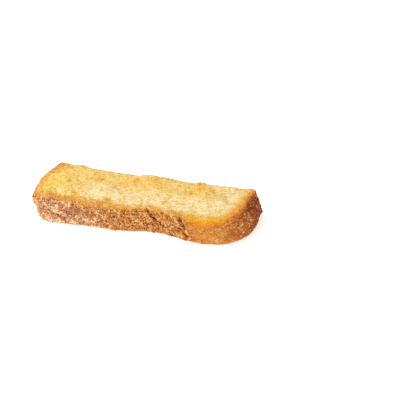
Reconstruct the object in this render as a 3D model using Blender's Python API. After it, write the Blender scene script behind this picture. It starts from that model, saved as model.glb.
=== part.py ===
"""A french toast stick: the outermost strip of a thick slice of sandwich loaf, dipped and fried.

One solid, in metres, +Z up, lying on the side that was pressed to the pan. +X runs along the stick
to the domed end, which was the top of the loaf. -Y is the long side with the loaf's side crust, and
+Y the long side where the knife went through the crumb. The form is worked out in millimetres.
"""

import math

import bmesh
import bpy
from mathutils import Vector, noise

MM = 0.001

# Driving sizes, in millimetres: the strip's thickness, and where its two long sides run.
THICKNESS = 18.2
CUT_SIDE_Y = 10.8
CRUST_SIDE_Y = -13.8

# The strip seen from above, as corners in order round it: x, y, and how far back along its two
# sides a corner's rounding starts. The crust side draws in at the middle, where the loaf rose out
# of its tin, and swells again towards the dome.
PLAN_CORNERS = (
    (-50.8, CUT_SIDE_Y + 2.1, 2.0),
    (-57.9, 1.4, 4.0),
    (-58.2, CRUST_SIDE_Y, 6.0),
    (-14.0, CRUST_SIDE_Y + 0.4, 8.0),
    (3.0, CRUST_SIDE_Y + 2.3, 3.0),
    (10.0, CRUST_SIDE_Y + 2.2, 3.0),
    (26.0, CRUST_SIDE_Y - 0.6, 7.0),
    (47.0, CRUST_SIDE_Y - 1.1, 8.0),
    (58.2, -3.5, 7.0),
    (57.2, CUT_SIDE_Y - 0.6, 3.0),
    (22.0, CUT_SIDE_Y - 1.0, 12.0),
    (2.0, CUT_SIDE_Y + 0.4, 5.0),
    (-6.0, CUT_SIDE_Y - 0.4, 4.0),
    (-36.0, CUT_SIDE_Y + 0.7, 10.0),
)
PLAN_STEP = 1.5
LEVELS = 16

# How squarely a surface faces the back, the front, sideways or down before it starts to count as
# the cut side, the crust side, a side at all or the underside, and when it counts in full.
CUT_FACING = (0.2, 0.8)
FRONT_FACING = (0.3, 0.8)
SIDE_FACING = (0.35, 0.8)
DOWN_FACING = (0.55, 0.9)

# Radius of the upper and lower edges: crisp where the knife went, soft on crust, widest at the dome.
CUT_EDGE_ROUND = 1.1
CRUST_EDGE_ROUND = 2.3
DOME_EDGE_ROUND = 6.4
DOME_RANGE_X = (22.0, 56.0)

# Radius of the lower crust edge towards the square end, where it is crisper, and where that starts.
SQUARE_EDGE_ROUND = 1.0
SQUARE_RANGE_X = (-52.0, -38.0)

# Relief of the crumb: slow unevenness, then lumps, then the open pores of the bread.
SWELL = 0.35
SWELL_SPAN = 17.0
SWELL_SHIFT = Vector((3.1, 7.7, 1.9))
LUMP = 0.42
LUMP_SPAN = 5.4
PORE_SPACING = 5.4
PORE_DEPTH = 2.4
PORE_RADIUS = (0.17, 0.43)
PORE_SHARE = 0.75
PORE_SEED = 9.7

# Relief of the crust: rounded knobs with sharp valleys between them.
CRAG = 1.1
CRAG_MIDDLE = 0.31
CRAG_SPAN = 4.2
SMALL_CRAG = 0.5
SMALL_CRAG_SPAN = 2.0

# How much flatter the knobs get towards the dome, and where.
DOME_CALM = 0.5
DOME_CALM_RANGE_X = (25.0, 33.0)

# Two slanting folds in the crust where the rising loaf tore along the rim of its tin:
# x at the top edge, x at the bottom edge, depth, half width.
FOLDS = (
    (6.3, 19.9, 1.6, 1.2),
    (25.1, 24.9, 1.4, 1.2),
)
FOLD_LIP = 0.55
FOLD_LIP_AWAY = 2.0
FOLD_LIP_SPREAD = 1.6
FOLD_WANDER = 0.9
FOLD_WANDER_SPAN = 5.0
FOLD_FADE_Z = (-4.0, 7.0)

# Raised crumb and set batter, and one shallow dip: x, y, z, height, radius.
MOUNDS = (
    (-37.9, CUT_SIDE_Y, THICKNESS, 0.6, 2.6),
    (0.5, CUT_SIDE_Y, THICKNESS, 0.5, 3.4),
    (27.5, CUT_SIDE_Y - 2.0, THICKNESS, 0.8, 3.0),
    (33.0, CRUST_SIDE_Y - 1.0, 0.8, 0.7, 1.8),
    (-40.0, CRUST_SIDE_Y, THICKNESS * 0.55, 0.5, 5.0),
    (40.0, -4.0, THICKNESS, 0.4, 7.0),
    (-12.0, 2.0, THICKNESS, -0.45, 6.5),
)

# The pan side is pressed flat, apart from shallow hollows that didn't touch.
HOLLOW_RISE = 0.22
HOLLOW_SPAN = 7.0
HOLLOW_SHIFT = Vector((11.0, 2.0, 5.0))
HOLLOW_RANGE = (0.12, 0.5)
PRESSED_WITHIN = 0.06

# Fineness of the worked surface, and the number of triangles kept.
VOXEL = 0.85
SMOOTHING_ROUNDS = 2
TRIANGLES = 10600

TOASTED_CRUMB = (0.80, 0.50, 0.16, 1.0)
CRUMB_ROUGHNESS = 0.75


def clear_scene():
    for old in list(bpy.data.objects):
        bpy.data.objects.remove(old, do_unlink=True)


def smoothstep(low, high, value):
    share = min(1.0, max(0.0, (value - low) / (high - low)))
    return share * share * (3.0 - 2.0 * share)


def plan_outline():
    """Points round the outline with every corner rounded, each with its outward direction."""
    plan = bmesh.new()
    corners = [plan.verts.new((x, y, 0.0)) for x, y, rounding in PLAN_CORNERS]
    plan.faces.new(corners)
    for corner, (x, y, rounding) in zip(corners, PLAN_CORNERS):
        bmesh.ops.bevel(
            plan,
            geom=[corner],
            offset=rounding,
            segments=round(2 * rounding / PLAN_STEP) + 1,
            profile=0.5,
            affect="VERTICES",
        )
    for edge in list(plan.edges):
        bmesh.ops.subdivide_edges(plan, edges=[edge], cuts=int(edge.calc_length() / PLAN_STEP))
    plan.faces.ensure_lookup_table()
    points = [loop.vert.co.copy() for loop in plan.faces[0].loops]
    plan.free()
    outline = []
    for index, point in enumerate(points):
        along = points[(index + 1) % len(points)] - points[index - 1]
        outline.append((point, Vector((along.y, -along.x, 0.0)).normalized()))
    return outline


def edge_round(point, outward, level):
    """The radius of the upper edge, or below half the height the lower one, at a place."""
    crust = 1.0 - smoothstep(*CUT_FACING, outward.y)
    dome = smoothstep(*DOME_RANGE_X, point.x)
    crusted = CRUST_EDGE_ROUND + (DOME_EDGE_ROUND - CRUST_EDGE_ROUND) * dome
    if level < THICKNESS / 2:
        square = 1.0 - smoothstep(*SQUARE_RANGE_X, point.x)
        crusted += (SQUARE_EDGE_ROUND - crusted) * square
    return CUT_EDGE_ROUND + (crusted - CUT_EDGE_ROUND) * crust


def drawn_in(level, radius):
    """How far a quarter-round edge of that radius draws the surface in at a height."""
    depth = min(level, THICKNESS - level, radius)
    return radius - math.sqrt(radius**2 - (radius - depth) ** 2)


def stack_outlines(strip):
    """Skins a stack of outlines, closest together near the rounded edges, and caps both ends."""
    outline = plan_outline()
    rings = []
    for step in range(LEVELS + 1):
        level = THICKNESS * (1.0 - math.cos(math.pi * step / LEVELS)) / 2
        ring = []
        for point, outward in outline:
            place = point - outward * drawn_in(level, edge_round(point, outward, level))
            ring.append(strip.verts.new((place.x, place.y, level)))
        rings.append(ring)
    for lower, upper in zip(rings, rings[1:]):
        for index in range(len(outline)):
            strip.faces.new((lower[index - 1], lower[index], upper[index], upper[index - 1]))
    strip.faces.new(rings[-1])
    strip.faces.new(reversed(rings[0]))


def add_working_surface(shape):
    """Remakes the whole surface in small even faces."""
    remesh = shape.modifiers.new("even faces", "REMESH")
    remesh.mode = "VOXEL"
    remesh.voxel_size = VOXEL
    smooth = shape.modifiers.new("ease", "SMOOTH")
    smooth.factor = 0.5
    smooth.iterations = SMOOTHING_ROUNDS


def add_thinning(shape):
    """Keeps about TRIANGLES faces, fewest where the surface is flat."""
    shape.data.calc_loop_triangles()
    thin = shape.modifiers.new("thin out", "DECIMATE")
    thin.ratio = TRIANGLES / len(shape.data.loop_triangles)
    thin.use_collapse_triangulate = True


def applied(mesh, add_modifiers):
    """The mesh with the modifiers of one of the functions above applied to it."""
    shape = bpy.data.objects.new("strip", mesh)
    bpy.context.collection.objects.link(shape)
    add_modifiers(shape)
    graph = bpy.context.evaluated_depsgraph_get()
    result = bpy.data.meshes.new_from_object(shape.evaluated_get(graph))
    bpy.data.objects.remove(shape)
    return result


def smooth_strip():
    """The strip before it gets its relief."""
    strip = bmesh.new()
    stack_outlines(strip)
    mesh = bpy.data.meshes.new("strip")
    strip.to_mesh(mesh)
    strip.free()
    return applied(mesh, add_working_surface)


def swell(place):
    return SWELL * noise.noise(place / SWELL_SPAN + SWELL_SHIFT)


def crumb_relief(place):
    """Lumps of the crumb, with a pore in some of the cells that they fall into."""
    lump = LUMP * noise.noise(place / LUMP_SPAN)
    distances, centres = noise.voronoi(place / PORE_SPACING)
    chance = noise.cell(centres[0] * PORE_SEED)
    if chance > PORE_SHARE:
        return lump
    smallest, largest = PORE_RADIUS
    radius = smallest + (largest - smallest) * chance / PORE_SHARE
    return lump - PORE_DEPTH * radius * (1.0 - smoothstep(0.0, radius, distances[0]))


def crust_relief(place):
    knobs = abs(noise.noise(place / CRAG_SPAN))
    knobs += SMALL_CRAG * abs(noise.noise(place / SMALL_CRAG_SPAN))
    calm = 1.0 - DOME_CALM * smoothstep(*DOME_CALM_RANGE_X, place.x)
    return CRAG * calm * (knobs - CRAG_MIDDLE)


def fold_relief(place):
    """The folds of the torn line, each a groove with a raised lip on its dome side."""
    level = 1.0 - place.z / THICKNESS
    total = 0.0
    for top_x, bottom_x, depth, half_width in FOLDS:
        wander = FOLD_WANDER * noise.noise(Vector((top_x, 0.0, place.z / FOLD_WANDER_SPAN)))
        across = (place.x - (top_x + (bottom_x - top_x) * level) - wander) / half_width
        groove = math.exp(-across * across)
        lip = math.exp(-((across - FOLD_LIP_AWAY) ** 2) / FOLD_LIP_SPREAD)
        total += FOLD_LIP * lip - depth * groove
    return total * smoothstep(*FOLD_FADE_Z, place.z)


def mound_relief(place):
    total = 0.0
    for x, y, z, height, radius in MOUNDS:
        away = (place - Vector((x, y, z))).length / radius
        total += height * math.exp(-away * away)
    return total


def crust_share(place, normal):
    """1 on crust and 0 on crumb, going by which way the surface faces."""
    sideways = math.hypot(normal.x, normal.y)
    cut = smoothstep(*CUT_FACING, normal.y / max(sideways, MM))
    return smoothstep(*SIDE_FACING, sideways) * (1.0 - cut)


def relief(place, normal):
    crust = crust_share(place, normal)
    front = smoothstep(*FRONT_FACING, -normal.y)
    height = swell(place) + mound_relief(place)
    height += crumb_relief(place) * (1.0 - crust)
    height += crust_relief(place) * crust
    height += fold_relief(place) * front
    return height


def pan_side_height(place):
    hollow = noise.noise(place / HOLLOW_SPAN + HOLLOW_SHIFT)
    return HOLLOW_RISE * smoothstep(*HOLLOW_RANGE, hollow)


def press_relief(mesh):
    """Moves every point along its normal by the relief there, and presses the pan side flat."""
    normals = [vertex.normal.copy() for vertex in mesh.vertices]
    for vertex, normal in zip(mesh.vertices, normals):
        place = vertex.co.copy()
        down = smoothstep(*DOWN_FACING, -normal.z)
        moved = place + normal * relief(place, normal) * (1.0 - down)
        moved.z = moved.z * (1.0 - down) + pan_side_height(place) * down
        vertex.co = moved


def settle(mesh):
    """Flattens what the pan pressed, sets the middle of the underside on the origin, goes to metres."""
    for vertex in mesh.vertices:
        if vertex.co.z < PRESSED_WITHIN:
            vertex.co.z = 0.0
    corners = [vertex.co for vertex in mesh.vertices]
    middle = Vector([(min(axis) + max(axis)) / 2 for axis in zip(*corners)])
    for vertex in mesh.vertices:
        vertex.co.x -= middle.x
        vertex.co.y -= middle.y
        vertex.co *= MM


def toasted_material():
    material = bpy.data.materials.new("toasted crumb")
    material.use_nodes = True
    shader = material.node_tree.nodes["Principled BSDF"]
    shader.inputs["Base Color"].default_value = TOASTED_CRUMB
    shader.inputs["Roughness"].default_value = CRUMB_ROUGHNESS
    shader.inputs["Metallic"].default_value = 0.0
    return material


def make_stick():
    worked = smooth_strip()
    press_relief(worked)
    mesh = applied(worked, add_thinning)
    settle(mesh)
    mesh.shade_smooth()
    mesh.materials.append(toasted_material())
    stick = bpy.data.objects.new("toast_stick", mesh)
    bpy.context.collection.objects.link(stick)


def main():
    clear_scene()
    make_stick()


main()
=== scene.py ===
"""One french toast stick, lying on a pale floor in soft studio light.

The bread is one piece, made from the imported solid. Its surface gets the open crumb, the flaky
crust and the folds at full fineness. Every point also carries how light it is and how far it is
browned, scorched and frosted, which the material turns into colour. Loose crumbs, flakes of crust
and grains of frost sit in it. Sizes and places are in millimetres, but for the studio's, which
are in metres.
"""

import math
import random

import bmesh
import bpy
import numpy as np
from mathutils import Matrix, Vector, noise


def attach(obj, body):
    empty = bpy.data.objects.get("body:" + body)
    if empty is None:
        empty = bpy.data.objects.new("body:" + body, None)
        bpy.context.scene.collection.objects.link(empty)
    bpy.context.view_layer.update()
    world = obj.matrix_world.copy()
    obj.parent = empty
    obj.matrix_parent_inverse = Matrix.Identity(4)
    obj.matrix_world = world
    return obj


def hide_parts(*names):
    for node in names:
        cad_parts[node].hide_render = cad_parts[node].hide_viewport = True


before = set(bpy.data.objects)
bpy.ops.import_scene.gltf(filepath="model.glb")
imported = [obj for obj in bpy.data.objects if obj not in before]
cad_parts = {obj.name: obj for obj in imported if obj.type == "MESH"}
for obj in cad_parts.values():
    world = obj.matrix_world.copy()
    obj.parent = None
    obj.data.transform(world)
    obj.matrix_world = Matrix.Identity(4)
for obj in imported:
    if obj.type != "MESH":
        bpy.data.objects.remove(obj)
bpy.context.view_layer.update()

# noise_vector is shifted by a random seed, which Blender takes from the clock unless it is set.
STIRRING_SEED = 6
noise.seed_set(STIRRING_SEED)

MM = 0.001
MERGE_DISTANCE = 0.01
FACE_GRAIN = 0.36
EASING_ROUNDS = 6

# The stick lies along X with its domed crust end at +X, and its crust side faces -Y. The bottom
# edge is baked as the crust is at a small depth below the top.
THICKNESS = 18.2
BOTTOM_EDGE_DEPTH = 3.0

# Where one thing turns into another: the place where it starts, and the one where it is full. First
# along the stick, by x.
LEFT_END = (-53.0, -56.5)
GOLDEN_CORNER = (-51.0, -54.5)
LIGHTER_CORNER = (-51.0, -55.0)
LEMON_CRUMB = (-34.0, -46.0)
TAWNY_CRUST = (-46.0, 0.0)
NEAR_HALF_PALER = (-40.0, -24.0)
RIGHT_THIRD_PALER = (36.0, 48.0)
LESS_DUST = (-30.0, -6.0)
NO_DUST = (16.0, 26.0)
SWELL_STARTS = (25.5, 31.0)
SWELL_ENDS = (58.0, 49.0)
SMOOTH_CRUST_STARTS = (23.0, 31.0)
SMOOTH_CRUST_ENDS = (56.0, 48.0)
ROSY_STRETCH_STARTS = (42.0, 44.0)
ROSY_STRETCH_ENDS = (54.0, 49.0)
RUSSET_END = (44.0, 50.5)
DARK_END = (47.5, 53.5)
LATE_GOLD = (-46.0, -50.0)
RUGGED_CRUST = (-16.0, -30.0)
FEW_LOOSE_BITS = (22.0, 28.0)
CRUMBS_ON_END = (50.0, 54.0)

# Then across it, by y, and up it, by z.
CRUST_SIDE_ACROSS = (0.0, -5.0)
SCORCH_ACROSS = (-8.8, 0.8)
SCORCH_SOONER_ACROSS = (-2.0, 7.0)
SCORCH_EASES_ACROSS = (7.0, 12.0)
LEMON_ACROSS = (8.0, 3.0)
NEAR_HALF_ACROSS = (4.5, -1.0)
BACK_PALER_ACROSS = (5.0, 9.0)
LATE_GOLD_ACROSS = (-7.0, -2.0)
CRUMBS_ON_END_ACROSS = (9.0, 3.0)
FOOT_PALER_UP = (4.0, 0.5)

# Loose bits stick only above this height, clear of the floor.
LOOSE_BITS_FROM = 1.0

# Where crumb gives way to crust on the top, seen from above, from the left end round the crust
# side to the domed end. The last two places lie behind the cut side, so that it stays crumb.
CRUMB_OUTLINE = (
    (-48.9, 11.6),
    (-55.4, 2.0),
    (-55.9, -3.2),
    (-54.2, -7.4),
    (-50.5, -9.2),
    (-45.5, -8.7),
    (-39.4, -9.4),
    (-34.0, -8.8),
    (-24.0, -9.2),
    (-13.6, -9.4),
    (-2.9, -9.9),
    (6.7, -8.5),
    (16.5, -9.5),
    (22.0, -10.2),
    (27.0, -10.1),
    (31.3, -9.6),
    (37.8, -10.2),
    (44.3, -8.6),
    (48.1, -6.1),
    (50.4, -2.3),
    (52.1, 1.9),
    (53.7, 6.1),
    (54.8, 8.8),
    (55.2, 12.0),
    (55.2, 40.0),
    (-48.9, 40.0),
)
CRUST_REACH = 2.5
BROWNING_DOWN = 0.76

# How the browning crosses the edge of the crumb, along the stick: x, then how far outside the edge
# gold starts and is full, and crust starts and is full.
EDGE_BROWNING = (
    (-57.0, -4.5, 0.0, 1.0, 5.0),
    (-46.0, -4.0, 0.0, 0.8, 3.8),
    (-38.0, -2.6, 0.3, 1.2, 4.5),
    (-24.0, -4.0, 0.0, 1.6, 4.8),
    (-14.0, -4.6, 0.2, 0.8, 3.8),
    (4.0, -3.6, 0.3, 0.3, 2.8),
    (16.0, -4.8, 0.0, 0.2, 2.4),
    (22.0, -4.8, 0.0, 0.2, 2.4),
    (27.0, -4.4, 0.2, 0.8, 3.5),
    (34.0, -3.2, 0.2, 2.6, 8.0),
    (44.0, -2.4, 0.0, 2.4, 6.4),
    (50.0, -3.0, -0.4, 2.4, 5.6),
    (58.0, -3.4, -0.8, 1.8, 5.0),
)

# Where the rim of the top is baked darker than beside it: x, y, radius, strength.
BAKED_SPOTS = (
    (-46.5, -8.3, 1.5, 1.6),
    (-50.5, 11.5, 2.0, 0.5),
    (5.5, -8.4, 1.1, 0.5),
    (24.0, -9.6, 1.3, 0.7),
)

# Places on the top where the batter soaked in and stayed deep gold: x, y, radius, strength.
SOAKED_SPOTS = (
    (-33.0, -5.0, 1.4, 0.8),
    (-32.5, -2.5, 3.4, 0.16),
    (-16.0, -6.0, 2.6, 0.8),
    (-22.6, 5.8, 1.6, 1.0),
    (-28.0, 8.5, 1.2, 0.8),
    (-25.0, 4.5, 3.4, 0.3),
    (-5.5, 7.0, 3.0, 0.5),
    (-33.5, 1.5, 1.1, 0.8),
    (-42.5, 10.5, 1.1, 0.9),
    (-48.5, 8.8, 4.0, 0.45),
    (-51.5, -3.0, 3.6, 0.15),
    (-40.0, 2.5, 2.0, 0.3),
    (-19.5, -1.0, 2.0, 0.6),
    (-19.0, -5.4, 2.2, 0.3),
    (5.5, 9.0, 2.8, 0.5),
    (10.0, 0.3, 2.0, 0.6),
    (13.5, -4.5, 1.3, 0.8),
    (24.0, 2.8, 2.8, 0.45),
    (30.0, 6.5, 2.8, 0.45),
    (27.8, 9.6, 1.9, 0.7),
    (23.0, 6.5, 1.0, 0.8),
    (-8.6, 10.4, 1.1, 1.0),
    (48.0, 11.2, 4.4, 0.75),
)

# Places on the top where the crumb stayed dry and is cream: x, y, radius, strength.
DRY_SPOTS = (
    (-26.0, -2.6, 3.8, 0.24),
    (-21.5, 1.8, 2.6, 0.36),
    (-42.5, -4.0, 3.2, 0.75),
    (-38.5, -6.0, 3.2, 0.8),
    (-11.5, -4.0, 3.6, 0.25),
    (-5.5, 2.6, 2.6, 0.3),
    (18.0, -1.0, 3.4, 0.25),
    (24.0, -5.0, 3.6, 0.25),
    (48.0, 2.5, 4.0, 0.3),
    (-17.5, 9.0, 2.6, 0.5),
    (-14.5, 5.5, 3.6, 0.2),
    (37.0, 9.2, 2.6, 0.4),
    (18.5, 5.0, 3.6, 0.35),
    (-35.2, -4.4, 1.8, 0.3),
    (12.0, 3.0, 2.2, 0.25),
    (42.0, 0.5, 3.0, 0.4),
    (46.0, -2.5, 4.0, 0.45),
)

# Frost on the crust side: x, z, radius, strength.
FROST_PATCHES = (
    (-44.5, 12.0, 3.4, 1.0),
    (-40.4, 9.6, 2.6, 0.9),
    (-38.0, 17.2, 2.4, 0.8),
    (-50.0, 3.2, 4.4, 0.55),
    (-44.5, 2.6, 4.0, 0.6),
    (-38.0, 3.0, 3.6, 0.5),
    (-29.0, 7.4, 2.0, 0.8),
    (-24.2, 7.6, 1.8, 0.6),
    (-31.0, 17.2, 1.8, 0.5),
    (44.0, 14.0, 1.5, 0.4),
    (21.6, 12.8, 1.1, 1.0),
)

# Lighter and, below 0, darker patches on the crust side: x, z, radius, how much.
CRUST_PATCHES = (
    (-43.5, 12.3, 3.4, 0.2),
    (-47.0, 12.5, 3.0, 0.08),
    (-40.8, 12.5, 2.0, -0.2),
    (-44.5, 15.6, 2.2, -0.16),
    (-38.5, 6.0, 1.8, -0.14),
    (-46.0, 7.5, 3.6, -0.18),
    (-42.0, 6.3, 3.4, -0.2),
    (-37.0, 10.3, 3.4, -0.18),
    (-37.5, 4.0, 2.6, 0.14),
    (-47.0, 2.5, 6.0, 0.14),
    (-31.0, 12.8, 4.6, -0.18),
    (-25.0, 13.4, 4.0, -0.18),
    (-28.8, 6.5, 3.8, 0.16),
    (-23.5, 6.8, 3.0, 0.14),
    (-18.0, 8.0, 3.0, 0.1),
    (-20.0, 13.0, 3.4, 0.2),
    (-8.5, 15.5, 2.4, 0.12),
    (-18.0, 4.0, 2.6, -0.1),
    (-12.0, 10.3, 3.0, -0.14),
    (6.0, 10.4, 2.4, 0.14),
    (5.5, 15.2, 2.8, 0.16),
    (-4.4, 6.6, 1.8, 0.14),
    (-18.0, 16.0, 1.8, 0.14),
    (5.5, 1.5, 2.2, -0.18),
    (12.5, 13.0, 2.2, 0.14),
    (11.5, 9.0, 3.0, -0.14),
    (16.0, 8.8, 3.4, -0.18),
    (22.0, 4.5, 3.6, 0.14),
    # Painted shade beside the second fold: this patch and the one at z 8.4 two rows down.
    (22.5, 11.5, 2.6, -0.08),
    (22.4, 14.8, 2.2, 0.16),
    (22.5, 8.4, 2.0, -0.1),
    (29.5, 12.5, 2.6, 0.1),
    (41.0, 6.5, 4.0, 0.16),
    (48.0, 9.0, 5.0, -0.1),
    (-16.0, 2.5, 5.0, 0.12),
    (-24.0, 2.5, 4.0, 0.08),
)

# Pale flakes that sit on the scorched end: x, y, z, radius.
END_FLAKES = (
    (53.8, -6.9, 12.7, 1.5),
    (54.8, -3.2, 15.8, 0.9),
    (53.8, -7.0, 7.4, 1.1),
    (56.8, -2.7, 11.8, 0.9),
    (55.2, -0.6, 17.2, 0.8),
    (57.3, -1.7, 10.6, 0.8),
    (56.1, -4.0, 8.8, 0.8),
    (52.1, -8.2, 14.6, 0.9),
    (57.6, 1.0, 4.9, 0.9),
    (56.2, -1.5, 15.5, 0.6),
    (57.8, 4.4, 13.4, 0.8),
)

# The two folds in the crust and some cracks, down the crust side: places x and z, half width, depth.
# Their depth also sets how much darker the crust is painted down them, as shade in the creases.
FOLDS = (
    (((6.4, 18.6), (8.5, 13.5), (11.7, 10.9), (14.4, 7.6), (17.5, 4.0)), 0.5, 0.9),
    (((24.4, 18.6), (24.9, 13.0), (25.6, 8.0), (26.2, 2.0)), 0.6, 0.55),
    (((-33.0, 17.2), (-30.0, 16.2), (-27.5, 14.0)), 0.5, 0.45),
    (((-46.5, 9.4), (-42.5, 8.2), (-40.5, 8.0)), 0.5, 0.45),
    (((-38.0, 12.2), (-35.5, 10.4), (-32.5, 10.0)), 0.5, 0.4),
    (((20.5, 13.6), (22.4, 11.2), (24.6, 9.0)), 0.45, 0.3),
    (((-9.0, 17.0), (0.0, 16.9), (6.4, 16.7)), 0.45, 0.24),
    (((43.5, 17.0), (42.3, 12.5), (42.6, 8.5), (44.0, 6.0)), 0.6, 0.26),
)

# Pale strands of dough that stand up from the crust: places x and z, half width, height.
STRANDS = (
    # This first strand, on the lip beside the second fold, is lighter partly as painted highlight.
    (((27.6, 12.0), (27.2, 7.0), (27.8, 2.0)), 0.7, 0.35),
    (((15.0, 9.4), (18.3, 5.3), (23.6, 3.9)), 0.45, 0.5),
    (((8.0, 16.8), (7.0, 14.0), (7.6, 12.4)), 0.9, 0.4),
    (((-29.5, 8.0), (-26.5, 6.5), (-24.5, 6.4)), 0.8, 0.3),
    (((-30.5, 17.5), (-27.0, 15.0)), 0.6, 0.35),
    (((-41.5, 16.2), (-38.0, 17.4), (-34.5, 16.8)), 0.7, 0.5),
    (((12.0, 15.5), (14.0, 13.0), (17.5, 11.5)), 0.45, 0.35),
    (((20.0, 17.4), (22.6, 16.4), (23.8, 13.6), (24.2, 11.0)), 0.4, 0.4),
    (((29.2, 3.2), (29.8, 1.6)), 0.7, 0.45),
)


def paint(red, green, blue):
    """A colour in linear light, from the 0 to 255 that a picture shows."""
    levels = [value / 255 for value in (red, green, blue)]
    linear = [v / 12.92 if v <= 0.04045 else ((v + 0.055) / 1.055) ** 2.4 for v in levels]
    return (*linear, 1.0)


# Crumb and crust from their darkest pits to their highest points, as share and colour.
CRUMB_COLOURS = (
    (0.0, paint(200, 128, 34)),
    (0.25, paint(216, 163, 60)),
    (0.5, paint(223, 184, 93)),
    (0.75, paint(225, 198, 135)),
    (1.0, paint(234, 215, 172)),
)
LEMON_CRUMB_COLOURS = (
    (0.0, paint(204, 132, 34)),
    (0.25, paint(219, 168, 58)),
    (0.5, paint(226, 192, 92)),
    (0.75, paint(229, 206, 128)),
    (1.0, paint(236, 220, 168)),
)
CUT_CRUMB_COLOURS = (
    (0.0, paint(160, 100, 34)),
    (0.25, paint(194, 140, 58)),
    (0.5, paint(214, 168, 86)),
    (0.75, paint(228, 190, 116)),
    (1.0, paint(242, 214, 160)),
)
ROSY_CRUST_COLOURS = (
    (0.0, paint(126, 66, 42)),
    (0.25, paint(158, 95, 62)),
    (0.5, paint(188, 131, 89)),
    (0.75, paint(212, 166, 121)),
    (1.0, paint(240, 213, 180)),
)
TAWNY_CRUST_COLOURS = (
    (0.0, paint(108, 50, 14)),
    (0.25, paint(144, 79, 26)),
    (0.5, paint(178, 111, 44)),
    (0.75, paint(204, 144, 72)),
    (1.0, paint(237, 192, 130)),
)
SCORCHED_COLOURS = (
    (0.0, paint(98, 38, 12)),
    (0.25, paint(112, 44, 13)),
    (0.5, paint(127, 50, 15)),
    (0.75, paint(147, 65, 24)),
    (1.0, paint(186, 103, 52)),
)

# The rim's colours from inside the edge of the crumb outwards: thin and tawny along most of the
# stick, a broad bright gold where the crust swells before the domed end, and orange on that end.
THIN_RIM_COLOURS = (
    (0.0, paint(214, 175, 88)),
    (0.125, paint(210, 163, 78)),
    (0.21, paint(217, 162, 73)),
    (0.29, paint(215, 152, 61)),
    (0.375, paint(208, 140, 60)),
    (0.56, paint(199, 130, 61)),
)
BROAD_RIM_COLOURS = (
    (0.125, paint(216, 181, 113)),
    (0.21, paint(218, 176, 84)),
    (0.25, paint(218, 170, 62)),
    (0.29, paint(217, 164, 43)),
    (0.33, paint(219, 159, 31)),
    (0.44, paint(215, 143, 23)),
    (0.59, paint(200, 126, 32)),
    (0.81, paint(204, 134, 46)),
)
END_RIM_COLOURS = (
    (0.125, paint(224, 183, 102)),
    (0.21, paint(229, 174, 86)),
    (0.25, paint(231, 168, 76)),
    (0.29, paint(231, 162, 69)),
    (0.325, paint(231, 155, 61)),
    (0.375, paint(227, 140, 51)),
    (0.44, paint(212, 118, 41)),
    (0.6, paint(184, 101, 40)),
)
BROWN_FLECK = paint(158, 84, 24)
CREAM_FLECK = paint(234, 198, 132)
FROST = paint(240, 213, 178)


# ---- Fields over the surface -------------------------------------------------------------------


def smoothstep(low, high, values):
    """0 at low and 1 at high, which may be the smaller of the two, and eased between them."""
    share = np.clip((values - low) / (high - low), 0.0, 1.0)
    return share * share * (3.0 - 2.0 * share)


def waves(places, span, shift=0.0):
    """Smooth noise, about -1 to 1, with lumps as far apart as span. A shift gives another pattern."""
    return np.array([noise.noise(Vector(place)) for place in places / span + shift])


def stirred(places, amount, span, shift=0.0):
    """The places moved about by smooth noise, so that what is drawn at them gets ragged."""
    moves = [noise.noise_vector(Vector(place)) for place in places / span + shift]
    return places + amount * np.array(moves)


def foam(places, spacing, shift=0.0):
    """A foam's cells: how far inside its cell a place is, 0 on a wall, and a chance for each cell."""
    depths = []
    chances = []
    for place in places / spacing + shift:
        distances, centres = noise.voronoi(Vector(place))
        depths.append(distances[1] - distances[0])
        chances.append(noise.cell(centres[0] * 9.7))
    return np.array(depths), np.array(chances)


def from_path(plan, path):
    """How far places on a plane are from a path of straight stretches."""
    nearest = np.full(len(plan), np.inf)
    corners = np.array(path)
    for start, end in zip(corners, corners[1:]):
        along = end - start
        reach = np.clip((plan - start) @ along / (along @ along), 0.0, 1.0)
        nearest = np.minimum(nearest, np.linalg.norm(plan - start - reach[:, None] * along, axis=1))
    return nearest


def outside_outline(plan, outline):
    """How far places on a plane lie outside an outline. Inside it is negative."""
    inside = np.zeros(len(plan), bool)
    corners = np.array((*outline, outline[0]))
    for start, end in zip(corners, corners[1:]):
        if start[1] != end[1]:
            between = (start[1] > plan[:, 1]) != (end[1] > plan[:, 1])
            slope = (end[0] - start[0]) / (end[1] - start[1])
            inside ^= between & (plan[:, 0] < start[0] + (plan[:, 1] - start[1]) * slope)
    away = from_path(plan, corners)
    return np.where(inside, -away, away)


# ---- The bread ---------------------------------------------------------------------------------


def merged_solid():
    """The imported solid's own surface, its loose triangles merged."""
    shape = bmesh.new()
    shape.from_mesh(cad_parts["toast_stick"].data)
    bmesh.ops.remove_doubles(shape, verts=shape.verts, dist=MERGE_DISTANCE * MM)
    mesh = bpy.data.meshes.new("bread")
    shape.to_mesh(mesh)
    shape.free()
    return mesh


def fine_surface(mesh):
    """The same surface in small even faces, its facets eased away."""
    rough = bpy.data.objects.new("rough_bread", mesh)
    bpy.context.scene.collection.objects.link(rough)
    remesh = rough.modifiers.new("even faces", "REMESH")
    remesh.mode = "VOXEL"
    remesh.voxel_size = FACE_GRAIN * MM
    ease = rough.modifiers.new("ease", "SMOOTH")
    ease.factor = 0.5
    ease.iterations = EASING_ROUNDS
    graph = bpy.context.evaluated_depsgraph_get()
    fine = bpy.data.meshes.new_from_object(rough.evaluated_get(graph))
    bpy.data.objects.remove(rough)
    return fine


def points_of(mesh, name, data):
    values = np.zeros(len(mesh.vertices) * 3, np.float32)
    data.foreach_get(name, values)
    return values.reshape(-1, 3).astype(float)


def along_paths(places, paths):
    """How strongly places on the crust side lie on some paths, times each path's own height."""
    front = places[:, (0, 2)]
    total = np.zeros(len(places))
    for path, half_width, height in paths:
        away = from_path(front, path) / half_width
        total = np.maximum(total, height * np.exp(-away * away))
    return total


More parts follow.
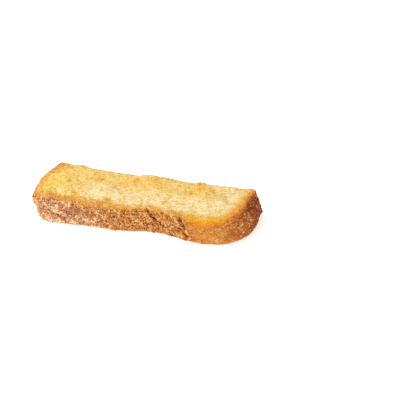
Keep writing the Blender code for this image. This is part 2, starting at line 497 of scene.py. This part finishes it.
def spots_at(across, along, spots):
    """How strongly places lie in some round spots, the spots' strengths added up."""
    total = np.zeros(len(across))
    for spot_across, spot_along, radius, strength in spots:
        away = np.hypot(across - spot_across, along - spot_along) / radius
        total += strength * (1.0 - smoothstep(0.3, 1.1, away))
    return total


def flakes_at(places, flakes):
    """How strongly places lie on some flakes."""
    total = np.zeros(len(places))
    for *middle, radius in flakes:
        away = np.linalg.norm(places - middle, axis=1) / radius
        total = np.maximum(total, 1.0 - smoothstep(0.5, 1.0, away))
    return total


def facing(normals):
    """How much each place belongs to the top, the underside, the two long sides and the left end."""
    sides = {
        "top": normals[:, 2],
        "under": -normals[:, 2],
        "front": -normals[:, 1],
        "cut": normals[:, 1],
        "left": -normals[:, 0],
    }
    field = {side: smoothstep(0.3, 0.8, share) for side, share in sides.items()}
    field["cut"] *= 1.0 - field["top"]
    return field


def lay_browning(places, spread, field):
    """How far each place is baked: millimetres past the edge of the crumb, over and down the side."""
    x, y, z = places.T
    ragged = 0.5 * waves(places, 2.6) + 0.7 * waves(places, 1.1, 5.0)
    below = np.minimum(THICKNESS - z, z + BOTTOM_EDGE_DEPTH).clip(0.0)
    outside = outside_outline(places[:, :2], CRUMB_OUTLINE)
    over_edge = smoothstep(-CRUST_REACH, 0.0, outside)
    baked = spots_at(spread[:, 0], spread[:, 1], BAKED_SPOTS)
    field["browning"] = outside + BROWNING_DOWN * below * over_edge + ragged
    field["browning"] += 1.8 * baked
    field["ember"] = smoothstep(0.6, 1.3, baked)
    field["russet"] = np.maximum(smoothstep(*RUSSET_END, x), field["ember"])
    swell = smoothstep(*SWELL_STARTS, x + 1.5 * ragged) * smoothstep(*SWELL_ENDS, x)
    field["mellow"] = swell * (1.0 - field["cut"])
    field["crust_side"] = smoothstep(-1.0, 0.8, outside) * smoothstep(*CRUST_SIDE_ACROSS, y)


def lay_scorch(places, field):
    """The domed end is scorched, most of all away from the crust side, and the left end a little."""
    x, y, _ = places.T
    dark_end = smoothstep(*DARK_END, x + waves(places, 4.0))
    dark_end *= 1.0 - 0.3 * smoothstep(*SCORCH_EASES_ACROSS, y)
    dark_end *= 0.08 + 0.87 * smoothstep(*SCORCH_ACROSS, y + 2.0 * waves(places, 3.0, 8.0))
    left_end = smoothstep(*LEFT_END, x) * field["left"]
    sooner = 1.3 * smoothstep(*SCORCH_SOONER_ACROSS, y)
    scorch = smoothstep(2.0, 5.0, field["browning"] + sooner) * np.maximum(dark_end, 0.35 * left_end)
    field["flake"] = flakes_at(stirred(places, 0.35, 1.3, 5.0), END_FLAKES)
    field["scorch"] = scorch * (1.0 - 0.8 * field["flake"])


def lay_tints(places, field):
    """Where the crust is tawny and not rosy, and where the crumb is lemon and not golden."""
    x, y, _ = places.T
    warmth = smoothstep(*TAWNY_CRUST, x + 5.0 * waves(places, 7.0))
    golden_corner = np.maximum(0.5 * field["left"], 0.85 * smoothstep(*GOLDEN_CORNER, x))
    warmth += golden_corner * (1.0 - warmth)
    warmth -= 0.15 * smoothstep(*ROSY_STRETCH_STARTS, x) * smoothstep(*ROSY_STRETCH_ENDS, x)
    field["warmth"] = warmth
    field["lemon"] = 0.7 * smoothstep(*LEMON_CRUMB, x) * smoothstep(*LEMON_ACROSS, y)


def lay_crumb_tones(places, normals, spread, field):
    """How pale the crumb is, with painted shade on slopes turned from the key light, and where
    batter, the pan or the back edge leaves it deep gold, the edge partly as painted shade.
    """
    x, y, _ = places.T
    near = smoothstep(*NEAR_HALF_ACROSS, y + 1.8 * waves(places, 6.0))
    near *= smoothstep(*NEAR_HALF_PALER, x)
    near = np.maximum(near, smoothstep(*RIGHT_THIRD_PALER, x))
    field["near"] = near * field["top"]
    dry = spots_at(spread[:, 0], spread[:, 1], DRY_SPOTS)
    # Painted shade: the crumb is deeper gold on slopes turned away from the key light.
    painted_slope_shade = smoothstep(0.05, 0.4, normals[:, 0] + 0.5 * normals[:, 1])
    field["pale"] = 0.61 + 0.12 * near + 0.04 * smoothstep(*BACK_PALER_ACROSS, y)
    field["pale"] += (0.26 * dry - 0.16 * painted_slope_shade) * field["top"]
    field["pale"] += 0.22 * smoothstep(0.0, 0.4, waves(places, 9.0, 14.0)) * field["under"]
    soaked = spots_at(spread[:, 0], spread[:, 1], SOAKED_SPOTS).clip(0.0, 1.0) * field["top"]
    pan_marks = 0.6 * smoothstep(0.2, 0.5, waves(spread, 4.0, 15.0)) * field["under"]
    # Deeper gold on the back edge: partly browned, partly painted shade turned from the key light.
    browned_and_shaded_edge = smoothstep(0.35, 0.6, normals[:, 1]) * smoothstep(0.95, 0.75, normals[:, 1])
    browned_and_shaded_edge *= field["top"]
    field["soaked"] = np.maximum(np.maximum(soaked, pan_marks), 0.5 * browned_and_shaded_edge)


def lay_frost(places, spread, field):
    """Frost in patches on the crust side, and a thin dust of it on the crust, most at the left."""
    x = places[:, 0]
    sparkling = 0.68 + 1.2 * waves(places, 0.9, 4.0) + 0.7 * waves(places, 2.4, 2.0)
    patches = spots_at(spread[:, 0], spread[:, 2], FROST_PATCHES).clip(0.0, 1.0)
    frost = (1.4 * patches * field["front"] * sparkling).clip(0.0, 1.0)
    dusty = (1.0 - 0.6 * smoothstep(*LESS_DUST, x)) * (1.0 - smoothstep(*NO_DUST, x))
    dusty *= smoothstep(-0.2, 0.35, waves(places, 3.0, 5.0))
    dust = smoothstep(0.2, 0.55, waves(places, 0.8, 9.0)) * (1.0 - field["cut"])
    on_crust = smoothstep(0.0, 2.5, field["browning"])
    field["frost"] = np.maximum(frost, 0.44 * dust * dusty * on_crust)


def lay_crust_forms(places, spread, field):
    """Lighter and darker patches of the crust side, and its folds and strands."""
    field["patch"] = spots_at(spread[:, 0], spread[:, 2], CRUST_PATCHES) * field["front"]
    field["patch"] += 0.22 * smoothstep(*LIGHTER_CORNER, places[:, 0])
    folds = along_paths(stirred(places, 0.5, 2.5, 3.0), FOLDS)
    strands = along_paths(stirred(places, 0.8, 2.0, 7.0), STRANDS)
    field["fold"] = folds * field["crust_side"]
    field["strand"] = strands * field["crust_side"]


def surface_fields(places, normals):
    """What relief and colour need to know of each place on the surface."""
    field = facing(normals)
    spread = stirred(places, 0.9, 1.6)
    lay_browning(places, spread, field)
    lay_scorch(places, field)
    lay_tints(places, field)
    lay_crumb_tones(places, normals, spread, field)
    lay_frost(places, spread, field)
    lay_crust_forms(places, spread, field)
    return field


def brown_edges(places, field):
    """How far the rim's gold and then the crust have set in. Pits in the crumb brown sooner, and
    the gold starts later along the left end."""
    browning = field["browning"] + 2.4 * (0.64 - field["lift"]) + 0.5 * waves(places, 0.6, 7.0)
    table = np.array(EDGE_BROWNING).T
    x, y = places[:, :2].T
    gold_from, gold_to, crust_from, crust_to = (np.interp(x, table[0], row) for row in table[1:])
    gold_from += 2.8 * smoothstep(*LATE_GOLD_ACROSS, y) * smoothstep(*LATE_GOLD, x)
    field["gold"] = smoothstep(gold_from, gold_to, browning)
    field["crust"] = smoothstep(crust_from, crust_to, browning) * (1.0 - 0.8 * field["ember"])
    field["rim"] = ((browning + 4.0) / 16.0).clip(0.0, 1.0)


# Turns places on the top so that the crumb's fibres, which run towards the back right, lie along X
# and come out long.
FIBRE_SLANT = np.array(((0.33, -0.57, 0.0), (0.23, 0.82, 0.0), (0.0, 0.0, 1.0)))


def crumb_look(places, field):
    """The crumb, an open foam with torn webs across it: its relief, and how light it is."""
    loose = stirred(places, 0.55, 1.5)
    inside, chance = foam(loose, 3.1)
    coarse = smoothstep(0.04, 0.4, inside) * smoothstep(0.6, 1.0, chance)
    inside, chance = foam(loose, 1.2, 3.0)
    fine = smoothstep(0.0, 0.35, inside) * (0.1 + 0.9 * chance * chance)
    inside, chance = foam(loose, 1.9, 6.0)
    dots = smoothstep(0.2, 0.5, inside) * smoothstep(0.9, 1.0, chance)
    cells = smoothstep(0.02, 0.4, inside) * (0.3 + 0.7 * chance)
    long = stirred(places * np.array((0.5, 1.0, 1.0)), 0.8, 2.0)
    webs = 1.0 - np.minimum(np.abs(waves(long, 2.0, 2.0)) / 0.2, 1.0)
    slanting = stirred(places @ FIBRE_SLANT, 0.4, 1.5)
    webs = np.maximum(webs, 1.0 - np.minimum(np.abs(waves(slanting, 0.9, 8.0)) / 0.22, 1.0))
    webs = webs * field["top"] * (0.45 + 0.65 * field["near"])
    net = 1.0 - np.minimum(np.abs(waves(loose, 0.95, 21.0)) / 0.22, 1.0)
    net = np.maximum(net, 0.8 - 0.8 * np.minimum(np.abs(waves(loose, 1.6, 23.0)) / 0.2, 1.0))
    grain = waves(places, 0.75, 4.0)
    slow = waves(places, 3.4, 1.0)
    pressed = 0.2 + 0.06 * field["top"] - 0.1 * field["under"]
    crisp = waves(places, 0.5, 6.0)
    height = 0.2 * webs + 0.1 * grain - pressed * (0.7 * coarse + 0.45 * fine + 0.5 * dots)
    height -= 0.12 * field["soaked"] + field["cut"] * (0.4 * cells + 0.4 * coarse - 0.35 * (net - 0.5))
    lift = field["pale"] + 0.56 * (webs - 0.36) + 0.18 * grain + 0.06 * slow
    lift += (0.2 + 0.1 * field["near"]) * crisp
    # The deep gold takes in the back edge, where it is partly painted shade.
    lift -= 0.14 * coarse + 0.26 * (fine - 0.25) + 0.3 * dots + 0.45 * field["soaked"]
    lift -= 0.14 * smoothstep(-4.5, -0.5, field["browning"]) * field["top"]
    cut = 0.42 + 0.64 * net - 0.24 * cells - 0.24 * coarse + 0.14 * grain + 0.12 * slow
    return height, lift + (cut - lift) * field["cut"]


def crust_look(places, field):
    """The crust, knobs with valleys between and paler grains on them: its relief, and how light."""
    loose = stirred(places, 0.6, 1.7, 6.0)
    knobs = 0.8 * np.abs(waves(loose, 2.4)) + 0.8 * np.abs(waves(loose, 1.1, 3.0)) - 0.38
    inside, chance = foam(loose, 1.0, 1.0)
    grains = smoothstep(0.0, 0.35, inside) * smoothstep(0.55, 1.0, chance)
    inside, chance = foam(loose, 2.3, 4.0)
    blisters = smoothstep(0.1, 0.45, inside) * smoothstep(0.75, 1.0, chance)
    patches = waves(places, 4.2, 3.0) + 0.8 * waves(places, 2.0, 9.0)
    upright = loose * np.array((1.0, 1.0, 0.6))
    threads = 1.0 - smoothstep(0.0, 0.2, np.abs(waves(upright, 1.9, 11.0)))
    threads *= smoothstep(-0.25, 0.2, waves(places, 2.2, 12.0))
    cracks = 1.0 - smoothstep(0.0, 0.17, np.abs(waves(upright, 2.7, 13.0)))
    x = places[:, 0]
    calm = 1.0 - 0.2 * smoothstep(*SMOOTH_CRUST_STARTS, x) * smoothstep(*SMOOTH_CRUST_ENDS, x)
    # Down the folds the crust is calmer, and painted darker as shade in their creases.
    near_fold = np.minimum(field["fold"], 1.0)
    height = calm * (0.7 * knobs + 0.25 * grains - 0.3 * blisters + 0.12 * threads - 0.15 * cracks)
    height *= 1.0 - 0.7 * near_fold
    height += field["strand"] + 0.4 * field["flake"] - field["fold"] + 0.06 * waves(places, 0.7)
    shade = 0.3 * knobs + 0.34 * grains - 0.1 * blisters + 0.05 * patches + 0.2 * waves(places, 0.55, 1.0)
    shade += 0.24 * threads - 0.2 * cracks
    shade += 0.05 * smoothstep(*FOOT_PALER_UP, places[:, 2])
    rugged = calm * (1.4 + 0.25 * smoothstep(*RUGGED_CRUST, x))
    shade = 0.44 + rugged * shade + field["patch"]
    # Strands are lighter as pale dough, the one on the second fold's lip partly as painted highlight.
    return height, shade + 0.7 * field["strand"] + 0.35 * field["flake"] - 0.6 * near_fold


# The fields that the bread's material reads.
COLOURING = ("lift", "lemon", "cut", "shade", "warmth", "mellow", "russet", "rim", "gold", "crust",
             "scorch", "frost")


def dress(mesh):
    """Moves every point by its relief and writes down what the material reads."""
    places = points_of(mesh, "co", mesh.vertices) / MM
    normals = points_of(mesh, "vector", mesh.vertex_normals)
    field = surface_fields(places, normals)
    crumb, field["lift"] = crumb_look(places, field)
    brown_edges(places, field)
    crust, field["shade"] = crust_look(places, field)
    height = crumb + (crust - crumb) * field["crust"]
    moved = places + normals * height[:, None]
    moved[:, 2] = np.maximum(moved[:, 2], 0.0)
    mesh.vertices.foreach_set("co", (moved * MM).astype(np.float32).ravel())
    for name in COLOURING:
        attribute = mesh.attributes.new(name, "FLOAT", "POINT")
        attribute.data.foreach_set("value", field[name].astype(np.float32))
    mesh.update()


def add_piece(name, mesh, material):
    """A piece of the stick with its one material, attached to the root body."""
    mesh.shade_smooth()
    mesh.materials.clear()
    mesh.materials.append(material)
    piece = bpy.data.objects.new(name, mesh)
    bpy.context.scene.collection.objects.link(piece)
    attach(piece, "root")
    return piece


def make_bread():
    mesh = fine_surface(merged_solid())
    dress(mesh)
    bread = add_piece("toasted_bread", mesh, toasted_bread_material())
    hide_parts("toast_stick")
    return bread


# ---- Loose pieces ------------------------------------------------------------------------------


# The loose bits, a row for each kind: how many, the least and the greatest radius, how high they
# are for their width, the seed of their places, and their darkest and lightest colour.
LOOSE_BITS = {
    "pale_crumbs": (700, 0.16, 0.42, 0.8, 3, paint(190, 118, 66), paint(242, 202, 150)),
    "frost_grains": (1800, 0.07, 0.2, 0.9, 5, paint(212, 150, 98), paint(246, 214, 170)),
    "crust_flakes": (420, 0.25, 0.7, 0.3, 8, paint(150, 84, 44), paint(226, 164, 104)),
}


def values_of(mesh, name):
    values = np.zeros(len(mesh.vertices), np.float32)
    mesh.attributes[name].data.foreach_get("value", values)
    return values.astype(float)


def where_likely(mesh):
    """How likely each kind of loose bit is at each point: mostly on the rough part of the crust."""
    places = points_of(mesh, "co", mesh.vertices) / MM
    x, y, z = places.T
    crust = values_of(mesh, "crust")
    lying = z > LOOSE_BITS_FROM
    rough = 1.0 - 0.85 * smoothstep(*FEW_LOOSE_BITS, x)
    domed_end = smoothstep(*CRUMBS_ON_END, x) * smoothstep(*CRUMBS_ON_END_ACROSS, y)
    clustered = (0.4 + 2.2 * waves(places, 3.6, 3.0)).clip(0.0)
    frosty = 0.2 * crust * rough * clustered + 3.0 * values_of(mesh, "frost")
    return {
        "pale_crumbs": crust * (rough + 0.1 * domed_end) * clustered * lying,
        "frost_grains": (frosty + 0.3 * values_of(mesh, "cut")) * lying,
        "crust_flakes": crust * rough * lying,
    }


def scattered(name, bread, likely, count, smallest, largest, flatness, seed):
    """Small uneven lumps that sit in the bread's surface, each with a tone from 0 to 1."""
    darker = 0.5 * values_of(bread, "scorch")
    dice = random.Random(seed)
    places = points_of(bread, "co", bread.vertices)
    normals = points_of(bread, "vector", bread.vertex_normals)
    lumps = bmesh.new()
    tone = lumps.verts.layers.float.new("tone")
    for index in dice.choices(range(len(places)), weights=likely.clip(0.0), k=count):
        radius = MM * (smallest + (largest - smallest) * dice.random() ** 2)
        normal = Vector(normals[index])
        turn = normal.to_track_quat("Z", "Y").to_matrix()
        turn = turn @ Matrix.Rotation(dice.uniform(0.0, math.tau), 3, "Z")
        turn = turn @ Matrix.Rotation(dice.uniform(-0.5, 0.5), 3, "X")
        shape = Matrix.Diagonal((dice.uniform(0.7, 1.3), dice.uniform(0.7, 1.3), flatness))
        middle = Vector(places[index]) + normal * radius * flatness * 0.5
        matrix = Matrix.Translation(middle) @ (turn @ shape).to_4x4()
        lump = bmesh.ops.create_icosphere(lumps, subdivisions=1, radius=radius, matrix=matrix)
        value = dice.random() * (1.0 - darker[index])
        for vert in lump["verts"]:
            arm = vert.co - middle
            vert.co += arm * 0.9 * noise.noise(arm * 1.3 / radius + Vector((index, 0.0, 0.0)))
            vert[tone] = value
    mesh = bpy.data.meshes.new(name)
    lumps.to_mesh(mesh)
    lumps.free()
    return mesh


def scatter_loose_bits(bread):
    likely = where_likely(bread.data)
    for name, (count, smallest, largest, flatness, seed, dark, light) in LOOSE_BITS.items():
        mesh = scattered(name, bread.data, likely[name], count, smallest, largest, flatness, seed)
        add_piece(name, mesh, loose_bit_material(name, dark, light))


# ---- Materials ---------------------------------------------------------------------------------


def add_node(tree, kind, inputs=None, **options):
    """Adds a node with its options set, and each named input given a value or a link."""
    made = tree.nodes.new(kind)
    for name, value in options.items():
        setattr(made, name, value)
    for name, value in (inputs or {}).items():
        if isinstance(value, bpy.types.NodeSocket):
            tree.links.new(value, made.inputs[name])
        else:
            made.inputs[name].default_value = value
    return made


def calculate(tree, operation, first, second=0.0):
    return add_node(tree, "ShaderNodeMath", {0: first, 1: second}, operation=operation).outputs[0]


def remap(tree, value, low, high, to_low=0.0, to_high=1.0):
    """Value's range low to high, eased into another range and held at its ends."""
    settings = {"Value": value, 1: low, 2: high, 3: to_low, 4: to_high}
    return add_node(tree, "ShaderNodeMapRange", settings, interpolation_type="SMOOTHSTEP").outputs[0]


def mix_colours(tree, share, below, above, blend="MIX"):
    inputs = {0: share, 6: below, 7: above}
    mixer = add_node(tree, "ShaderNodeMix", inputs, data_type="RGBA", blend_type=blend)
    return mixer.outputs[2]


def attribute(tree, name):
    return add_node(tree, "ShaderNodeAttribute", attribute_name=name).outputs["Fac"]


def speckle(tree, where, span, detail=3.0, roughness=0.6):
    """Noise from 0 to 1 with lumps about as far apart as span, in millimetres."""
    inputs = {"Vector": where, "Scale": 1.0 / (span * MM), "Detail": detail, "Roughness": roughness}
    return add_node(tree, "ShaderNodeTexNoise", inputs).outputs["Fac"]


def new_material(name):
    """A material, its nodes, its shader, and the place in the object that its patterns read."""
    material = bpy.data.materials.new(name)
    material.use_nodes = True
    tree = material.node_tree
    where = add_node(tree, "ShaderNodeTexCoord").outputs["Object"]
    return material, tree, tree.nodes["Principled BSDF"], where


def new_group(name, inputs, outputs):
    """A node group with typed sockets, and its input and output nodes."""
    group = bpy.data.node_groups.new(name, "ShaderNodeTree")
    for label, kind in inputs:
        group.interface.new_socket(label, in_out="INPUT", socket_type=kind)
    for label, kind in outputs:
        group.interface.new_socket(label, in_out="OUTPUT", socket_type=kind)
    return group, group.nodes.new("NodeGroupInput"), group.nodes.new("NodeGroupOutput")


GRAIN_HEIGHT = 0.25 * MM


def grain_group():
    """Fine grain of baked dough: a height for the bump, and a tint that goes with it."""
    sockets = (("Where", "NodeSocketVector"), ("Strength", "NodeSocketFloat"))
    results = (("Height", "NodeSocketFloat"), ("Tint", "NodeSocketFloat"))
    group, given, result = new_group("dough_grain", sockets, results)
    where = given.outputs["Where"]
    crumbly = speckle(group, where, 0.6)
    fine = speckle(group, where, 0.22)
    height = calculate(group, "MULTIPLY_ADD", fine, 0.5)
    group.links.new(crumbly, height.node.inputs[2])
    scaled = calculate(group, "MULTIPLY", height, given.outputs["Strength"])
    group.links.new(scaled, result.inputs["Height"])
    group.links.new(remap(group, height, 0.52, 0.98), result.inputs["Tint"])
    return group


def colour_ramp(tree, value, colours):
    """Colours at shares of 0 to 1, each blending into the next."""
    made = add_node(tree, "ShaderNodeValToRGB", {"Fac": value})
    stops = made.color_ramp.elements
    stops[0].position, stops[0].color = colours[0]
    stops[1].position, stops[1].color = colours[-1]
    for share, colour in colours[1:-1]:
        stops.new(share).color = colour
    return made.outputs["Color"]


def rim_colour(tree, tint, shade, mellow, russet):
    """The rim's colours from the crumb outwards, with brown in its pits and cream on its grains."""
    browned = calculate(tree, "ADD", attribute(tree, "rim"), remap(tree, tint, 0.0, 1.0, 0.1, -0.1))
    thin_rim = colour_ramp(tree, browned, THIN_RIM_COLOURS)
    rim = mix_colours(tree, mellow, thin_rim, colour_ramp(tree, browned, BROAD_RIM_COLOURS))
    rim = mix_colours(tree, russet, rim, colour_ramp(tree, browned, END_RIM_COLOURS))
    most_brown = remap(tree, mellow, 0.0, 1.0, 0.45, 0.26)
    brown = calculate(tree, "MULTIPLY", remap(tree, shade, 0.5, 0.1), most_brown)
    rim = mix_colours(tree, brown, rim, BROWN_FLECK)
    most_cream = remap(tree, mellow, 0.0, 1.0, 0.6, 0.25)
    cream = calculate(tree, "MULTIPLY", remap(tree, shade, 0.6, 1.1), most_cream)
    return mix_colours(tree, cream, rim, CREAM_FLECK)


def crust_colour(tree, shade, mellow, russet, rim):
    """Rosy crust at the left, tawny along the rest, and half rim where it swells and at the end."""
    rosy = colour_ramp(tree, shade, ROSY_CRUST_COLOURS)
    tawny = colour_ramp(tree, shade, TAWNY_CRUST_COLOURS)
    crust = mix_colours(tree, attribute(tree, "warmth"), rosy, tawny)
    golden = calculate(tree, "MAXIMUM", mellow, russet)
    return mix_colours(tree, calculate(tree, "MULTIPLY", golden, 0.5), crust, rim)


def crumb_colour(tree, tint):
    """Golden crumb, lemon towards the left end and toasty on the cut side."""
    lift = calculate(tree, "ADD", attribute(tree, "lift"), remap(tree, tint, 0.0, 1.0, -0.25, 0.25))
    golden = colour_ramp(tree, lift, CRUMB_COLOURS)
    lemon = colour_ramp(tree, lift, LEMON_CRUMB_COLOURS)
    crumb = mix_colours(tree, attribute(tree, "lemon"), golden, lemon)
    return mix_colours(tree, attribute(tree, "cut"), crumb, colour_ramp(tree, lift, CUT_CRUMB_COLOURS))


def toasted_bread_material():
    """Crumb, rim and crust in one: each takes over from the one before as the browning goes on."""
    material, tree, shader, where = new_material("toasted_bread")
    settings = {"Where": where, "Strength": GRAIN_HEIGHT}
    grain = add_node(tree, "ShaderNodeGroup", settings, node_tree=grain_group())
    tint = grain.outputs["Tint"]

    mellow = attribute(tree, "mellow")
    russet = attribute(tree, "russet")
    calmer = remap(tree, mellow, 0.0, 1.0, 1.0, 0.7)
    swing = calculate(tree, "MULTIPLY", remap(tree, tint, 0.0, 1.0, -0.34, 0.34), calmer)
    shade = calculate(tree, "ADD", attribute(tree, "shade"), swing)
    rim = rim_colour(tree, tint, shade, mellow, russet)
    crust = crust_colour(tree, shade, mellow, russet, rim)
    colour = mix_colours(tree, attribute(tree, "gold"), crumb_colour(tree, tint), rim)
    colour = mix_colours(tree, attribute(tree, "crust"), colour, crust)
    scorched = colour_ramp(tree, shade, SCORCHED_COLOURS)
    scorch = calculate(tree, "MULTIPLY", attribute(tree, "scorch"), 0.81)
    colour = mix_colours(tree, scorch, colour, scorched)
    frost = calculate(tree, "MULTIPLY", attribute(tree, "frost"), remap(tree, shade, 0.1, 0.7))
    colour = mix_colours(tree, frost, colour, FROST)
    tree.links.new(colour, shader.inputs["Base Color"])

    relief = {"Strength": 0.6, "Distance": 1.0, "Height": grain.outputs["Height"]}
    bump = add_node(tree, "ShaderNodeBump", relief)
    tree.links.new(bump.outputs["Normal"], shader.inputs["Normal"])
    tree.links.new(remap(tree, tint, 0.0, 1.0, 0.6, 0.85), shader.inputs["Roughness"])
    shader.inputs["Specular IOR Level"].default_value = 0.12
    return material


def loose_bit_material(name, dark, light):
    """Matt loose bits, each of its own tone between two colours, with a fine grain."""
    material, tree, shader, where = new_material(name)
    grain = remap(tree, speckle(tree, where, 0.3), 0.3, 0.7, -0.2, 0.2)
    share = calculate(tree, "ADD", attribute(tree, "tone"), grain)
    tree.links.new(mix_colours(tree, share, dark, light), shader.inputs["Base Color"])
    shader.inputs["Roughness"].default_value = 0.8
    shader.inputs["Specular IOR Level"].default_value = 0.1
    return material


def pale_floor_material():
    material, tree, shader, where = new_material("pale_floor")
    colour = mix_colours(tree, speckle(tree, where, 40.0), paint(250, 250, 250), paint(252, 252, 252))
    tree.links.new(colour, shader.inputs["Base Color"])
    shader.inputs["Roughness"].default_value = 0.9
    shader.inputs["Emission Color"].default_value = WHITE
    shader.inputs["Emission Strength"].default_value = FLOOR_GLOW
    return material


# ---- Studio ------------------------------------------------------------------------------------

WHITE = (1.0, 1.0, 1.0, 1.0)
FLOOR_RADIUS = 3.0
FLOOR_DROP = 0.00002
FLOOR_GLOW = 0.5
SKY_STRENGTH = 0.65

# Soft square lamps, each turned to the stick: name, place, size, power, tint.
LAMPS = (
    ("key_light", (-0.45, -0.3, 0.85), 0.3, 6.5, (1.0, 0.99, 0.97)),
    ("front_light", (-0.1, -0.9, 0.4), 0.6, 1.8, (1.0, 1.0, 1.0)),
)

# The camera stands back from a place on the stick along a direction, and is rolled by degrees.
LOOK_AT = Vector((0.03215, 0.0034, 0.0085))
VIEW_BACK = Vector((0.3625, -0.5633, 0.7425)).normalized()
VIEW_DISTANCE = 0.618
VIEW_ROLL = 18.2
LENS = 110.0


def make_floor():
    floor = bmesh.new()
    bmesh.ops.create_circle(floor, cap_ends=True, segments=96, radius=FLOOR_RADIUS)
    bmesh.ops.translate(floor, verts=floor.verts, vec=(0.0, 0.0, -FLOOR_DROP))
    mesh = bpy.data.meshes.new("floor")
    floor.to_mesh(mesh)
    floor.free()
    mesh.materials.append(pale_floor_material())
    made = bpy.data.objects.new("floor", mesh)
    bpy.context.scene.collection.objects.link(made)


def make_lamp(name, place, size, power, tint):
    lamp = bpy.data.lights.new(name, "AREA")
    lamp.size = size
    lamp.energy = power
    lamp.color = tint
    made = bpy.data.objects.new(name, lamp)
    made.location = place
    made.rotation_mode = "QUATERNION"
    made.rotation_quaternion = (Vector(place) * -1.0).to_track_quat("-Z", "Y")
    bpy.context.scene.collection.objects.link(made)


def make_studio():
    make_floor()
    for lamp in LAMPS:
        make_lamp(*lamp)
    world = bpy.data.worlds.new("studio")
    bpy.context.scene.world = world
    world.use_nodes = True
    sky = world.node_tree.nodes["Background"]
    sky.inputs["Color"].default_value = WHITE
    sky.inputs["Strength"].default_value = SKY_STRENGTH
    bpy.context.scene.view_settings.view_transform = "Standard"


def make_camera():
    camera = bpy.data.cameras.new("camera")
    camera.lens = LENS
    camera.sensor_width = 36.0
    camera.clip_start = 0.01
    made = bpy.data.objects.new("camera", camera)
    made.location = LOOK_AT + VIEW_BACK * VIEW_DISTANCE
    made.rotation_mode = "QUATERNION"
    level = (-VIEW_BACK).to_track_quat("-Z", "Y")
    made.rotation_quaternion = level @ Matrix.Rotation(math.radians(-VIEW_ROLL), 3, "Z").to_quaternion()
    bpy.context.scene.collection.objects.link(made)
    bpy.context.scene.camera = made


scatter_loose_bits(make_bread())
make_studio()
make_camera()
